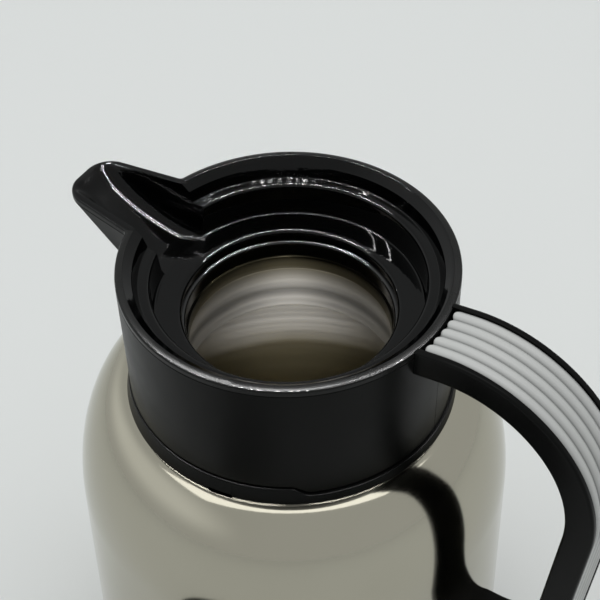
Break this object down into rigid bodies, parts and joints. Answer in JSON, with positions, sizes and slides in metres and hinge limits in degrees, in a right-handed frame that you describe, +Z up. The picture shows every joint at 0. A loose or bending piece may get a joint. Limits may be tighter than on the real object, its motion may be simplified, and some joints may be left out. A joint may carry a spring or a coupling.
{
  "type": "thermal carafe",
  "caption": "Vacuum steel carafe with a black spout collar, a strap handle with a ribbed insert, and a lift-out stopper whose flip lid opens a valve.",
  "frame": {"origin": "centre of the underside of the foot pad, on the table", "axes": "+Z up along the body's axis, +X towards the handle, -X towards the spout"},
  "size_m": [0.2005, 0.263, 0.2215],
  "materials": {
    "satin_steel": "satin, fine lengthwise grain",
    "inner_steel": "satin, turned rings",
    "plain_steel": "plain",
    "spring_steel": "bright drawn wire",
    "seal_metal": "plain",
    "satin_black": "satin moulding",
    "gloss_black": "glossy moulding",
    "handle_black": "semi-gloss moulding",
    "insert_grey": "satin, ribbed",
    "guide_plastic": "plain moulding",
    "seal_rubber": "soft silicone",
    "foot_rubber": "matt"
  },
  "bodies": {
    "carafe": {"outer_shell": "satin_steel", "inner_liner": "inner_steel", "shell_base": "plain_steel", "vacuum_seal": "seal_metal", "getter_capsule": "seal_metal", "base_cover": "satin_black", "foot_pad": "foot_rubber", "collar_shell": "satin_black", "pouring_well": "gloss_black", "neck_gasket": "seal_rubber", "trim_ring": "satin_black", "handle_frame": "handle_black", "handle_insert": "insert_grey", "handle_bracket": "plain_steel", "handle_screw": "plain_steel"},
    "stopper": {"stopper_body": "gloss_black", "stopper_gasket": "seal_rubber", "stopper_deck": "satin_black", "stem_guide": "guide_plastic", "guide_screws": "plain_steel", "return_spring": "spring_steel", "hinge_pin": "plain_steel"},
    "flip_lid": {"flip_lid": "gloss_black", "thumb_pad": "insert_grey", "flip_seal": "seal_rubber"},
    "valve": {"valve_stem": "plain_steel", "cross_pin": "plain_steel", "valve_disc": "guide_plastic", "valve_gasket": "seal_rubber"}
  },
  "joints": [
    {"name": "stopper_lift", "type": "slide", "parent": "carafe", "child": "stopper", "axis": [0, 0, 1], "range_m": [0, 0.23]},
    {"name": "lid_hinge", "type": "hinge", "parent": "stopper", "child": "flip_lid", "pos_m": [0.02, -0.141, 0.028], "axis": [0, 1, 0], "range_deg": [0, 36], "stiffness_Nm_per_rad": 0.024, "springref_deg": -25.78},
    {"name": "valve_slide", "type": "slide", "parent": "stopper", "child": "valve", "axis": [0, 0, 1], "range_m": [0, 0.0057], "deforming": ["return_spring"]}
  ],
  "couplings": [
    {"joint": "valve_slide", "follows": "lid_hinge", "m_per_rad": 0.0089}
  ]
}
